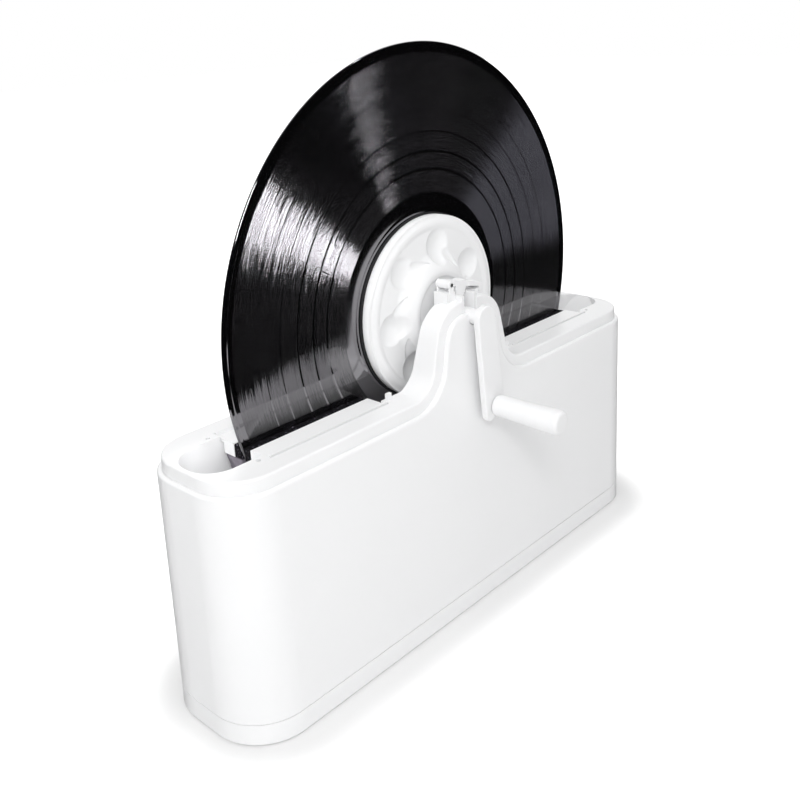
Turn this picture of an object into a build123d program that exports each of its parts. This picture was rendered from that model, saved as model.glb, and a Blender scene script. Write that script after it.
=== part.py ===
"""Hand-cranked record cleaning machine: a deep white basin that a record turns in, between brushes.

Millimetres, +Z up. The origin is the centre of the footprint, on the table. X runs along the
machine, -Y is the crank side, and the record stands in the plane y = 0.
"""

from build123d import *
import math
import os

os.makedirs("parts", exist_ok=True)

# ---- record -------------------------------------------------------------------------------
RECORD_D = 301.6
RECORD_T = 2.0
GROOVE_T = 1.5
GROOVE_INNER_R = 62.0
RIM_W = 3.3
SPINDLE_HOLE_D = 7.24
LABEL_D = 99.0
LABEL_T = 0.15
AXLE_Z = 189.5

# ---- drafted body -------------------------------------------------------------------------
BASE_L = 377.2
BASE_W = 87.2
BASE_CORNER_R = 32.9
SHOULDER_Z = 143.8
SEAM_Z = 13.5
DRAFT_IN = 4.26
WALL = 2.6
SHOULDER_FILLET = 1.5
FIT = 0.1
SEAM_GAP = 0.4

# ---- bell-shaped rises in the front and rear walls: shell, then the higher lip inside it -----
SHELL_HUMP_RISE = 2.7
SHELL_HUMP_FOOT_X = 30.8
SHELL_HUMP_TOP_X = 21.0
SHELL_HUMP_FOOT_R = 27.0
SHELL_HUMP_TOP_R = 15.5
DECK_STEP = 7.6
LIP_HUMP_RISE = 9.9
LIP_HUMP_FOOT_X = 37.1
LIP_HUMP_TOP_X = 25.6
LIP_HUMP_FOOT_R = 17.3
LIP_HUMP_TOP_R = 21.0
LIP_FILLET = 1.2

# ---- tub ----------------------------------------------------------------------------------
TUB_WALL = 2.4
SKIRT_DEPTH = 10.4
DECK_T = 4.0
TROUGH_END_GAP = 9.3
TROUGH_HALF_W = 17.5
TROUGH_END_R = 16.0
TROUGH_UNDER_RECORD = 6.7
POST_STEP_SETBACK = 7.5
POST_STEP = 0.9
POST_LOW_SETBACK = 0.4
POST_TOP_SETBACK = 4.5
POST_HOLLOW_SETBACK = 7.4
POST_FRONT_SKIN = 4.4
POST_SKIN = 3.2
SOCKET_D = 2.6
SOCKET_DEPTH = 3.2
SOCKET_GAP_X = 5.7
SOCKET_SETBACK = 3.4
STOP_TAB_X = 55.5
STOP_TAB_L = 3.4
STOP_TAB_W = 2.0
STOP_TAB_H = 4.0

# ---- axle, saddles and keepers ------------------------------------------------------------
AXLE_D = 9.0
AXLE_FIT = 0.08
SADDLE_WALL = 2.0
SADDLE_RISE = 12.6
SADDLE_SETBACK = 1.5
SADDLE_END_GAP = 0.5
SHELL_NOTCH_GAP = 0.4
KEEPER_PIVOT_X = -9.5
KEEPER_PIVOT_DZ = 19.4
KEEPER_BARREL_R = 2.5
KEEPER_SETBACK = 3.9
KEEPER_W = 7.2
KEEPER_EAR_T = 1.2
KEEPER_EAR_L = 3.4
KEEPER_SIDE_GAP = 0.2
KEEPER_BAR_T = 3.0
KEEPER_END_X = 20.0
KEEPER_END_DZ = 13.2
KEEPER_FOOT_LEFT_X = -4.0
KEEPER_FOOT_DZ = 7.4
KEEPER_FOOT_SWING_R = 15.0
KEEPER_LEG_T = 2.8
KEEPER_LEG_DZ = 9.3
KEEPER_PIN_D = 2.4
CATCH_X = 13.2
CATCH_L = 3.4
CATCH_TOP_DZ = 11.6
HINGE_BLOCK_L = 7.2
HINGE_BLOCK_TOP_DZ = 15.3
HINGE_BLOCK_LOW_DZ = 4.0

# ---- record clamp -------------------------------------------------------------------------
CLAMP_RECESS_Y = 2.1
CLAMP_RIM_Y = 3.6
CLAMP_CREST_IN = 3.7
CLAMP_CREST_Y = 8.9
CLAMP_VALLEY_IN = 7.6
CLAMP_WEB_Y = 8.0
HUB_FOOT_IN = 21.2
HUB_IN = 33.2
HUB_Y = 14.6
HUB_EDGE_R = 2.0
HUB_SKIN = 2.6
HUB_BOSS_R = 8.5
DIMPLES = 7
DIMPLE_PITCH_IN = 17.2
DIMPLE_MOUTH_R = 9.4
DIMPLE_DEPTH = 4.4
DIMPLE_START = 83.5
SEAL_LABEL_GAP = 0.7
SEAL_ROOT_W = 3.2
SEAL_LIP = 1.0
SEAL_SEAT_Y = 3.1
CLAMP_EDGE_W = 1.8
SPINDLE_D = 7.0
STUD_D = 4.8
STUD_END_Y = 22.0
STUD_FIT = 0.05
REAR_AXLE_REACH = 1.6

# ---- crank --------------------------------------------------------------------------------
ARM_GAP = 6.3
ARM_T = 3.7
ARM_HUB_R = 7.9
ARM_END_HALF_W = 9.1
ARM_END_R = 4.2
ARM_THROW = 55.9
ARM_TAIL = 8.7
ARM_TILT = 7.5
DRIVE_R = 3.4
DRIVE_FLAT = 2.4
DRIVE_DEPTH = 2.5
DRIVE_FIT = 0.03
GRIP_GAP = 0.4
GRIP_REACH = 46.6
GRIP_NEAR_R = 6.4
GRIP_END_R = 7.5
GRIP_EDGE_R = 2.6
PIN_D = 5.0
PIN_HEAD_D = 7.4
PIN_HEAD_T = 1.6
PIN_REACH = 38.0
PIN_ROOT = 2.5
PIN_FIT = 0.06

# ---- brushes ------------------------------------------------------------------------------
BRUSH_RIM_GAP = 6.0
BRUSH_INNER_X = 59.5
BRUSH_DROP = 1.0
PAD_END_INSET = 0.4
PAD_TOP_INSET = 0.3
PAD_H = 31.9
PAD_TIP_Y = 1.3
PAD_NECK_Y = 7.0
PAD_BACK_IN = 0.2
PAD_TOE_Y = 5.0
HOLDER_WALL_GAP = 2.1
HOLDER_H = 7.8
HOLDER_FLANGE_SEAT = 5.9
HOLDER_FLANGE_T = 1.6
RIDGE_IN = 1.2
RIDGE_W = 1.4
RIDGE_H = 1.8
BRUSH_FIT = 0.3

# ---- base, feet and screws ----------------------------------------------------------------
BASE_LIFT = 0.8
BASE_FLOOR_T = 2.8
BASE_TONGUE_T = 1.6
BASE_TONGUE_H = 3.0
FOOT_R = 8.0
FOOT_POCKET = 1.4
FOOT_IN_X = 40.6
FOOT_IN_Y = 17.6
BOSS_R = 4.2
BOSS_TOP_Z = 45.0
BOSS_IN_X = 68.6
BOSS_IN_Y = 6.4
BASE_SCREW_D = 3.0
BASE_SCREW_HEAD_D = 5.6
BASE_SCREW_HEAD_T = 2.0
BASE_SCREW_BITE = 11.0
SCREW_RECESS = 4.0
TUB_BOSS_IN_X = 88.6
TUB_BOSS_IN_Y = 15.6
TUB_BOSS_R = 4.0
BRACKET_T = 3.0
BRACKET_L = 16.0
BRACKET_DROP = 1.2
TUB_SCREW_D = 2.8
TUB_SCREW_HEAD_D = 5.2
TUB_SCREW_HEAD_T = 1.8
TUB_SCREW_BITE = 7.5

# ---- what follows from them -----------------------------------------------------------------
DRAFT_SLOPE = DRAFT_IN / SHOULDER_Z
DRAFT_DEG = math.degrees(math.atan(DRAFT_SLOPE))


def half_length(z):
    """Half the body's length at height z, to its drafted outer face."""
    return BASE_L / 2 - DRAFT_SLOPE * z


def half_width(z):
    """Half the body's width at height z, to its drafted outer face."""
    return BASE_W / 2 - DRAFT_SLOPE * z


GROOVE_OUTER_R = RECORD_D / 2 - RIM_W
LIP_INSET = WALL + FIT
SHELL_HUMP_TOP_Z = AXLE_Z + SHELL_HUMP_RISE
LIP_HUMP_TOP_Z = AXLE_Z + LIP_HUMP_RISE
DECK_Z = SHOULDER_Z + DECK_STEP
SKIRT_Z = DECK_Z - SKIRT_DEPTH
TROUGH_HALF_L = BASE_L / 2 - TROUGH_END_GAP
TROUGH_FLOOR_Z = AXLE_Z - RECORD_D / 2 - TROUGH_UNDER_RECORD
TROUGH_ARC_Z = (TROUGH_HALF_L**2 + DECK_Z**2 - TROUGH_FLOOR_Z**2) / (2 * (DECK_Z - TROUGH_FLOOR_Z))
TROUGH_R = TROUGH_ARC_Z - TROUGH_FLOOR_Z
POST_INNER_LOW_Y = TROUGH_HALF_W + POST_LOW_SETBACK
POST_INNER_TOP_Y = TROUGH_HALF_W + POST_TOP_SETBACK
POST_STEP_Y = TROUGH_HALF_W + POST_STEP_SETBACK
POST_HOLLOW_NEAR_Y = TROUGH_HALF_W + POST_HOLLOW_SETBACK
POST_HOLLOW_FAR_Y = half_width(DECK_Z) - LIP_INSET - POST_FRONT_SKIN
SADDLE_HALF = AXLE_D / 2 + AXLE_FIT + SADDLE_WALL
SADDLE_INNER_Y = TROUGH_HALF_W + SADDLE_SETBACK
SADDLE_OUTER_Y = half_width(AXLE_Z) - LIP_INSET - SADDLE_END_GAP
KEEPER_NEAR_Y = TROUGH_HALF_W + KEEPER_SETBACK
KEEPER_FAR_Y = KEEPER_NEAR_Y + KEEPER_W
AXLE_LINE = Axis((0, 0, AXLE_Z), (0, 1, 0))
SEAL_INNER_R = LABEL_D / 2 + SEAL_LABEL_GAP
SEAL_ROOT_R = SEAL_INNER_R + SEAL_ROOT_W
CLAMP_R = SEAL_ROOT_R + CLAMP_EDGE_W
CLAMP_CREST_R = CLAMP_R - CLAMP_CREST_IN
CLAMP_VALLEY_R = CLAMP_R - CLAMP_VALLEY_IN
HUB_FOOT_R = CLAMP_R - HUB_FOOT_IN
HUB_R = CLAMP_R - HUB_IN
DIMPLE_PITCH_R = CLAMP_R - DIMPLE_PITCH_IN
DIMPLE_BALL_R = (DIMPLE_MOUTH_R**2 + DIMPLE_DEPTH**2) / (2 * DIMPLE_DEPTH)
SEAL_OUTER_R = CLAMP_R + SEAL_LIP
REAR_AXLE_END_Y = half_width(AXLE_Z) + REAR_AXLE_REACH
ARM_NEAR_Y = half_width(AXLE_Z) + ARM_GAP
ARM_FAR_Y = ARM_NEAR_Y + ARM_T
GRIP_X = ARM_THROW * math.sin(math.radians(ARM_TILT))
GRIP_Z = AXLE_Z - ARM_THROW * math.cos(math.radians(ARM_TILT))
GRIP_LINE = Axis((GRIP_X, 0, GRIP_Z), (0, 1, 0))
GRIP_END_Y = ARM_FAR_Y + GRIP_REACH
PIN_END_Y = ARM_FAR_Y + PIN_REACH
BRUSH_OUTER_X = RECORD_D / 2 - BRUSH_RIM_GAP
BRUSH_L = BRUSH_OUTER_X - BRUSH_INNER_X
BRUSH_MID_X = (BRUSH_OUTER_X + BRUSH_INNER_X) / 2
BRUSH_TOP_Z = DECK_Z - BRUSH_DROP
PAD_LOW_Z = BRUSH_TOP_Z - PAD_H
HOLDER_LOW_Z = BRUSH_TOP_Z - HOLDER_H
HOLDER_BACK_Y = TROUGH_HALF_W - HOLDER_WALL_GAP
HOLDER_FLANGE_Y = TROUGH_HALF_W + HOLDER_FLANGE_SEAT
PAD_BACK_Y = HOLDER_BACK_Y - PAD_BACK_IN
RIDGE_Y = HOLDER_FLANGE_Y - RIDGE_IN
SOCKET_X = BRUSH_OUTER_X + SOCKET_GAP_X
SOCKET_Y = TROUGH_HALF_W + SOCKET_SETBACK
FOOT_X = BASE_L / 2 - FOOT_IN_X
FOOT_Y = BASE_W / 2 - FOOT_IN_Y
BOSS_X = BASE_L / 2 - BOSS_IN_X
BOSS_Y = BASE_W / 2 - BOSS_IN_Y
TUB_BOSS_X = BASE_L / 2 - TUB_BOSS_IN_X
TUB_BOSS_Y = BASE_W / 2 - TUB_BOSS_IN_Y
FOUR_BOSSES = [(-BOSS_X, -BOSS_Y), (BOSS_X, -BOSS_Y), (-BOSS_X, BOSS_Y), (BOSS_X, BOSS_Y)]
SIX_BOSSES = FOUR_BOSSES + [(0, -BOSS_Y), (0, BOSS_Y)]
FOUR_FEET = [(-FOOT_X, -FOOT_Y), (FOOT_X, -FOOT_Y), (-FOOT_X, FOOT_Y), (FOOT_X, FOOT_Y)]


def footprint(z, inset):
    """Rounded outline of the drafted body at height z, this far in from its outer face."""
    corner = BASE_CORNER_R - DRAFT_SLOPE * z - inset
    with BuildSketch(Plane.XY.offset(z)) as outline:
        RectangleRounded(2 * (half_length(z) - inset), 2 * (half_width(z) - inset), corner)
    return outline.sketch


def elevation(flat_z, top_z, foot_x, top_x, foot_r, top_r):
    """Front view of a wall: straight along its top, with a bell-shaped rise in the middle."""
    with BuildSketch(Plane.XZ) as outline:
        with BuildLine():
            Polyline(
                (-BASE_L, 0),
                (-BASE_L, flat_z),
                (-foot_x, flat_z),
                (-top_x, top_z),
                (top_x, top_z),
                (foot_x, flat_z),
                (BASE_L, flat_z),
                (BASE_L, 0),
                close=True,
            )
        make_face()
        fillet(corners_at(outline, foot_x), radius=foot_r)
        fillet(corners_at(outline, top_x), radius=top_r)
    return outline.sketch


def corners_at(outline, x):
    """The sketch corners this far to either side of the middle."""
    return outline.vertices().filter_by(lambda v: abs(abs(v.X) - x) < 0.01)


def notch(plane, half, top_dz):
    """U-shaped opening round the axle line, open at the top."""
    with BuildSketch(plane) as outline:
        with Locations((0, AXLE_Z)):
            Circle(half)
        with Locations((0, AXLE_Z + top_dz / 2)):
            Rectangle(2 * half, top_dz)
    return outline.sketch


def on_rim(edge, inset, low_z):
    """Whether an edge runs along the top of a drafted wall whose outer face is this far in."""
    middle = edge.position_at(0.5)
    corner = BASE_CORNER_R - DRAFT_SLOPE * middle.Z - inset
    across = abs(middle.Y) - half_width(middle.Z) + inset + corner
    along = abs(middle.X) - half_length(middle.Z) + inset + corner
    beyond = math.hypot(max(across, 0), max(along, 0)) + min(max(across, along), 0) - corner
    return middle.Z > low_z - 0.01 and abs(beyond) < 0.02


def finish(part, name):
    """Name a finished piece and write it."""
    part.label = name
    export_step(part, f"parts/{name}.step")


# ---- outer shell ----------------------------------------------------------------------------
with BuildPart() as outer_shell:
    extrude(footprint(SEAM_Z, 0), amount=SHELL_HUMP_TOP_Z - SEAM_Z, taper=DRAFT_DEG)
    extrude(
        footprint(SEAM_Z, WALL),
        amount=SHELL_HUMP_TOP_Z - SEAM_Z,
        taper=DRAFT_DEG,
        mode=Mode.SUBTRACT,
    )
    shell_elevation = elevation(
        SHOULDER_Z,
        SHELL_HUMP_TOP_Z,
        SHELL_HUMP_FOOT_X,
        SHELL_HUMP_TOP_X,
        SHELL_HUMP_FOOT_R,
        SHELL_HUMP_TOP_R,
    )
    extrude(shell_elevation, amount=BASE_W, both=True, mode=Mode.INTERSECT)
    shoulder = outer_shell.edges().filter_by(lambda e: on_rim(e, 0, SHOULDER_Z))
    fillet(shoulder, radius=SHOULDER_FILLET)
    extrude(
        notch(Plane.XZ, AXLE_D / 2 + SHELL_NOTCH_GAP, AXLE_D * 2),
        amount=BASE_W,
        both=True,
        mode=Mode.SUBTRACT,
    )
    with BuildSketch(Plane.XY.offset(SEAM_Z)):
        with Locations(SIX_BOSSES):
            Circle(BOSS_R)
    extrude(amount=BOSS_TOP_Z - SEAM_Z)
    with BuildSketch(Plane.XY.offset(SEAM_Z)):
        with Locations(SIX_BOSSES):
            Circle(BASE_SCREW_D / 2)
    extrude(amount=BASE_SCREW_BITE + 1, mode=Mode.SUBTRACT)
    bracket_reach = half_width(SKIRT_Z) - WALL / 2 - (TUB_BOSS_Y - TUB_BOSS_R)
    bracket_mid_y = TUB_BOSS_Y - TUB_BOSS_R + bracket_reach / 2
    with BuildSketch(Plane.XY.offset(SKIRT_Z - BRACKET_DROP - BRACKET_T)):
        with GridLocations(2 * TUB_BOSS_X, 2 * bracket_mid_y, 2, 2):
            Rectangle(BRACKET_L, bracket_reach)
    extrude(amount=BRACKET_T)
    with BuildSketch(Plane.XY.offset(SKIRT_Z - BRACKET_DROP - BRACKET_T)):
        with GridLocations(2 * TUB_BOSS_X, 2 * TUB_BOSS_Y, 2, 2):
            Circle(TUB_SCREW_D / 2 + FIT)
    extrude(amount=BRACKET_T, mode=Mode.SUBTRACT)
finish(outer_shell.part, "outer_shell")


# ---- tub: deck, raised lip, hollow posts and the trough that holds the fluid ------------------
with BuildPart() as trough_outside:
    with BuildSketch(Plane.XZ):
        with Locations((0, TROUGH_ARC_Z)):
            Circle(TROUGH_R + TUB_WALL)
        with Locations((0, DECK_Z - DECK_T / 2 - TROUGH_R)):
            Rectangle(BASE_L, 2 * TROUGH_R, mode=Mode.INTERSECT)
    extrude(amount=TROUGH_HALF_W + TUB_WALL, both=True)
    with BuildSketch(Plane.XY):
        RectangleRounded(
            2 * (TROUGH_HALF_L + TUB_WALL - 0.6),
            2 * (TROUGH_HALF_W + TUB_WALL),
            TROUGH_END_R + TUB_WALL,
        )
    extrude(amount=DECK_Z, mode=Mode.INTERSECT)

with BuildPart() as trough_inside:
    with BuildSketch(Plane.XZ):
        with Locations((0, TROUGH_ARC_Z)):
            Circle(TROUGH_R)
        with Locations((0, DECK_Z + WALL - TROUGH_R)):
            Rectangle(BASE_L, 2 * TROUGH_R, mode=Mode.INTERSECT)
    extrude(amount=TROUGH_HALF_W, both=True)
    with BuildSketch(Plane.XY):
        RectangleRounded(2 * TROUGH_HALF_L, 2 * TROUGH_HALF_W, TROUGH_END_R)
    extrude(amount=DECK_Z + WALL, mode=Mode.INTERSECT)


def lip_elevation(inset):
    """Front view of the lip and its rise, drawn inset from its outer line."""
    return elevation(
        DECK_Z - inset,
        LIP_HUMP_TOP_Z - inset,
        LIP_HUMP_FOOT_X - inset,
        LIP_HUMP_TOP_X - inset,
        LIP_HUMP_FOOT_R + inset,
        LIP_HUMP_TOP_R - inset,
    )


def post(side):
    """Post behind the lip, whose inner face leans away from the record."""
    front_low = half_width(DECK_Z) - LIP_INSET - TUB_WALL / 2
    front_top = half_width(LIP_HUMP_TOP_Z) - LIP_INSET - TUB_WALL / 2
    outer_band = lip_elevation(0).moved(Location((0, side * POST_STEP_Y, 0)))
    with BuildPart() as blank:
        extrude(lip_elevation(POST_STEP), amount=-side * POST_STEP_Y)
        extrude(outer_band, amount=-side * (BASE_W / 2 - POST_STEP_Y))
        with BuildSketch(Plane.YZ):
            with BuildLine():
                Polyline(
                    (side * front_low, DECK_Z - DECK_T),
                    (side * front_top, LIP_HUMP_TOP_Z),
                    (side * POST_INNER_TOP_Y, LIP_HUMP_TOP_Z),
                    (side * POST_INNER_LOW_Y, DECK_Z - DECK_T),
                    close=True,
                )
            make_face()
        extrude(amount=LIP_HUMP_FOOT_X + LIP_HUMP_FOOT_R, both=True, mode=Mode.INTERSECT)
    return blank.part


def post_hollow(side):
    """The space inside a post, open underneath."""
    near_face = lip_elevation(POST_SKIN).moved(Location((0, side * POST_HOLLOW_NEAR_Y, 0)))
    with BuildPart() as space:
        extrude(near_face, amount=-side * (POST_HOLLOW_FAR_Y - POST_HOLLOW_NEAR_Y))
        Box(2 * (LIP_HUMP_FOOT_X - POST_SKIN), BASE_W, 2 * LIP_HUMP_TOP_Z, mode=Mode.INTERSECT)
    return space.part


def keeper_plane(y):
    """Upright plane at this y, with the axle line as its origin."""
    return Plane(origin=(0, y, AXLE_Z), x_dir=(1, 0, 0), z_dir=(0, -1, 0))


def hinge_block(side):
    """Block and two ears on top of a post, for the keeper's hinge."""
    ear_far = KEEPER_FAR_Y + KEEPER_SIDE_GAP + KEEPER_EAR_T
    ear_near = KEEPER_NEAR_Y - KEEPER_SIDE_GAP - KEEPER_EAR_T
    width = ear_far - ear_near
    ears_apart = width - KEEPER_EAR_T
    block_h = HINGE_BLOCK_TOP_DZ - HINGE_BLOCK_LOW_DZ
    block_x = -SADDLE_HALF - FIT - HINGE_BLOCK_L / 2
    middle = (block_x, side * (ear_near + ear_far) / 2, AXLE_Z + HINGE_BLOCK_LOW_DZ + block_h / 2)
    with BuildPart() as block:
        with Locations(middle):
            Box(HINGE_BLOCK_L, width, block_h)
        with BuildSketch(keeper_plane(side * ear_near)):
            with Locations((KEEPER_PIVOT_X, KEEPER_PIVOT_DZ)):
                Circle(KEEPER_BARREL_R)
            with Locations((KEEPER_PIVOT_X, (KEEPER_PIVOT_DZ + HINGE_BLOCK_TOP_DZ) / 2)):
                Rectangle(KEEPER_EAR_L, KEEPER_PIVOT_DZ - HINGE_BLOCK_TOP_DZ)
        extrude(amount=-side * width)
        with BuildSketch(keeper_plane(side * (ear_near + KEEPER_EAR_T))):
            with Locations((KEEPER_PIVOT_X, HINGE_BLOCK_TOP_DZ + block_h / 2)):
                Rectangle(2 * HINGE_BLOCK_L, block_h)
        extrude(amount=-side * (ears_apart - KEEPER_EAR_T), mode=Mode.SUBTRACT)
        with BuildSketch(keeper_plane(side * ear_near)):
            with Locations((KEEPER_PIVOT_X, KEEPER_PIVOT_DZ)):
                Circle(KEEPER_PIN_D / 2)
        extrude(amount=-side * width, mode=Mode.SUBTRACT)
    return block.part


with BuildPart() as tub:
    extrude(footprint(SKIRT_Z, LIP_INSET), amount=LIP_HUMP_TOP_Z - SKIRT_Z, taper=DRAFT_DEG)
    extrude(
        footprint(SKIRT_Z, LIP_INSET + TUB_WALL),
        amount=LIP_HUMP_TOP_Z - SKIRT_Z,
        taper=DRAFT_DEG,
        mode=Mode.SUBTRACT,
    )
    extrude(lip_elevation(0), amount=BASE_W, both=True, mode=Mode.INTERSECT)
    lip_edges = tub.edges().filter_by(lambda e: on_rim(e, LIP_INSET, DECK_Z))
    fillet(lip_edges, radius=LIP_FILLET)
    extrude(footprint(DECK_Z - DECK_T, LIP_INSET + TUB_WALL / 2), amount=DECK_T, taper=DRAFT_DEG)
    add(post(-1))
    add(post(1))
    add(trough_outside.part)
    add(trough_inside.part, mode=Mode.SUBTRACT)
    add(post_hollow(-1), mode=Mode.SUBTRACT)
    add(post_hollow(1), mode=Mode.SUBTRACT)
    with BuildSketch(Plane.XY.offset(BRUSH_TOP_Z - HOLDER_FLANGE_T)):
        with GridLocations(2 * BRUSH_MID_X, TROUGH_HALF_W + HOLDER_FLANGE_Y, 2, 2):
            Rectangle(BRUSH_L + 2 * BRUSH_FIT, HOLDER_FLANGE_Y - TROUGH_HALF_W + 2 * BRUSH_FIT)
    extrude(amount=DECK_T, mode=Mode.SUBTRACT)
    with BuildSketch(Plane.XY.offset(DECK_Z)):
        with GridLocations(2 * SOCKET_X, 2 * SOCKET_Y, 2, 2):
            Circle(SOCKET_D / 2)
    extrude(amount=-SOCKET_DEPTH, mode=Mode.SUBTRACT)
    with BuildSketch(Plane.XY.offset(SKIRT_Z - BRACKET_DROP)):
        with GridLocations(2 * TUB_BOSS_X, 2 * TUB_BOSS_Y, 2, 2):
            Circle(TUB_BOSS_R)
    extrude(amount=DECK_Z - DECK_T - SKIRT_Z + BRACKET_DROP)
    with BuildSketch(Plane.XY.offset(SKIRT_Z - BRACKET_DROP)):
        with GridLocations(2 * TUB_BOSS_X, 2 * TUB_BOSS_Y, 2, 2):
            Circle(TUB_SCREW_D / 2)
    extrude(amount=TUB_SCREW_BITE + 0.5, mode=Mode.SUBTRACT)
    with BuildSketch(Plane.XY.offset(DECK_Z)):
        with GridLocations(2 * STOP_TAB_X, 2 * (POST_INNER_LOW_Y + STOP_TAB_W), 2, 2):
            Rectangle(STOP_TAB_L, STOP_TAB_W)
    extrude(amount=STOP_TAB_H)
    for side in (-1, 1):
        add(hinge_block(side))
        with BuildSketch(keeper_plane(side * KEEPER_NEAR_Y)):
            with Locations((CATCH_X + CATCH_L / 2, CATCH_TOP_DZ / 2)):
                Rectangle(CATCH_L, CATCH_TOP_DZ)
        extrude(amount=-side * (KEEPER_FAR_Y - KEEPER_NEAR_Y))
    extrude(notch(Plane.XZ, SADDLE_HALF, AXLE_D * 3), amount=BASE_W, both=True, mode=Mode.SUBTRACT)
finish(tub.part, "tub")


# ---- axle saddles: U-shaped bearing liners in the posts ----------------------------------------
def saddle(side):
    """Bearing liner that drops into the notch of a post and carries the axle."""
    with BuildPart() as liner:
        extrude(notch(Plane.XZ, SADDLE_HALF, 2 * SADDLE_RISE), amount=-side * SADDLE_OUTER_Y)
        extrude(
            notch(Plane.XZ, AXLE_D / 2 + AXLE_FIT, 4 * SADDLE_RISE),
            amount=-side * SADDLE_OUTER_Y,
            mode=Mode.SUBTRACT,
        )
        with BuildSketch(Plane.YZ):
            with Locations((side * (SADDLE_INNER_Y + SADDLE_OUTER_Y) / 2, AXLE_Z)):
                Rectangle(SADDLE_OUTER_Y - SADDLE_INNER_Y, 2 * SADDLE_RISE)
        extrude(amount=SADDLE_HALF, both=True, mode=Mode.INTERSECT)
    return liner.part


finish(saddle(-1), "front_axle_saddle")
finish(saddle(1), "rear_axle_saddle")


# ---- keepers: hinged straps that hold the axle down in its notch -------------------------------
def keeper(side):
    """Strap with its hinge barrel, the foot over the axle and the leg at the catch."""
    pivot = (KEEPER_PIVOT_X, KEEPER_PIVOT_DZ)
    foot_h = KEEPER_PIVOT_DZ - KEEPER_FOOT_DZ
    foot_w = AXLE_D
    with BuildPart() as strap:
        with BuildSketch(keeper_plane(side * KEEPER_NEAR_Y)):
            with Locations((KEEPER_FOOT_LEFT_X + foot_w / 2, KEEPER_FOOT_DZ + foot_h / 2)):
                Rectangle(foot_w, foot_h)
            with Locations(pivot):
                Circle(KEEPER_FOOT_SWING_R, mode=Mode.INTERSECT)
            with Locations(pivot):
                Circle(KEEPER_BARREL_R)
            with BuildLine():
                Polyline(
                    (KEEPER_PIVOT_X, KEEPER_PIVOT_DZ + KEEPER_BARREL_R - KEEPER_BAR_T),
                    (KEEPER_END_X - KEEPER_LEG_T, KEEPER_END_DZ - KEEPER_BAR_T / 2 + 1),
                    (KEEPER_END_X - KEEPER_LEG_T, KEEPER_LEG_DZ),
                    (KEEPER_END_X, KEEPER_LEG_DZ),
                    (KEEPER_END_X, KEEPER_END_DZ + KEEPER_BAR_T / 2),
                    (KEEPER_PIVOT_X, KEEPER_PIVOT_DZ + KEEPER_BARREL_R),
                    close=True,
                )
            make_face()
            with Locations(pivot):
                Circle(KEEPER_PIN_D / 2 + AXLE_FIT, mode=Mode.SUBTRACT)
        extrude(amount=-side * (KEEPER_FAR_Y - KEEPER_NEAR_Y))
    return strap.part


def keeper_pin(side):
    """Hinge pin through the ears and the barrel of a keeper."""
    end_margin = KEEPER_SIDE_GAP + KEEPER_EAR_T
    with BuildPart() as pin:
        with BuildSketch(keeper_plane(side * (KEEPER_NEAR_Y - end_margin))):
            with Locations((KEEPER_PIVOT_X, KEEPER_PIVOT_DZ)):
                Circle(KEEPER_PIN_D / 2)
        extrude(amount=-side * (KEEPER_FAR_Y - KEEPER_NEAR_Y + 2 * end_margin))
    return pin.part


for side, place in ((-1, "front"), (1, "rear")):
    finish(keeper(side), f"{place}_keeper")
    finish(keeper_pin(side), f"{place}_keeper_pin")


# ---- record and its labels --------------------------------------------------------------------
SPINDLE_PLANE = Plane.XY.offset(AXLE_Z)

with BuildPart() as record:
    with BuildSketch(SPINDLE_PLANE):
        with BuildLine():
            Polyline(
                (SPINDLE_HOLE_D / 2, -RECORD_T / 2),
                (GROOVE_INNER_R - RECORD_T, -RECORD_T / 2),
                (GROOVE_INNER_R, -GROOVE_T / 2),
                (GROOVE_OUTER_R, -GROOVE_T / 2),
                (GROOVE_OUTER_R + RECORD_T / 2, -RECORD_T / 2),
                (RECORD_D / 2 - RECORD_T / 4, -RECORD_T / 2),
                (RECORD_D / 2, -RECORD_T / 4),
                (RECORD_D / 2, RECORD_T / 4),
                (RECORD_D / 2 - RECORD_T / 4, RECORD_T / 2),
                (GROOVE_OUTER_R + RECORD_T / 2, RECORD_T / 2),
                (GROOVE_OUTER_R, GROOVE_T / 2),
                (GROOVE_INNER_R, GROOVE_T / 2),
                (GROOVE_INNER_R - RECORD_T, RECORD_T / 2),
                (SPINDLE_HOLE_D / 2, RECORD_T / 2),
                close=True,
            )
        make_face()
    revolve(axis=AXLE_LINE)
finish(record.part, "record")

with BuildPart() as record_labels:
    for y in (-RECORD_T / 2 - LABEL_T, RECORD_T / 2):
        with BuildSketch(Plane(origin=(0, y + LABEL_T, AXLE_Z), z_dir=(0, -1, 0))):
            Circle(LABEL_D / 2)
            Circle(SPINDLE_HOLE_D / 2, mode=Mode.SUBTRACT)
        extrude(amount=LABEL_T)
finish(record_labels.part, "record_labels")


# ---- record clamp: two dished discs with finger hollows, a seal in each, and the split axle -------
def turned(profile):
    """Solid of revolution about the axle line from (radius, y) corners."""
    with BuildPart() as solid:
        with BuildSketch(SPINDLE_PLANE):
            with BuildLine():
                Polyline(*profile, close=True)
            make_face()
        revolve(axis=AXLE_LINE)
    return solid.part


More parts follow.
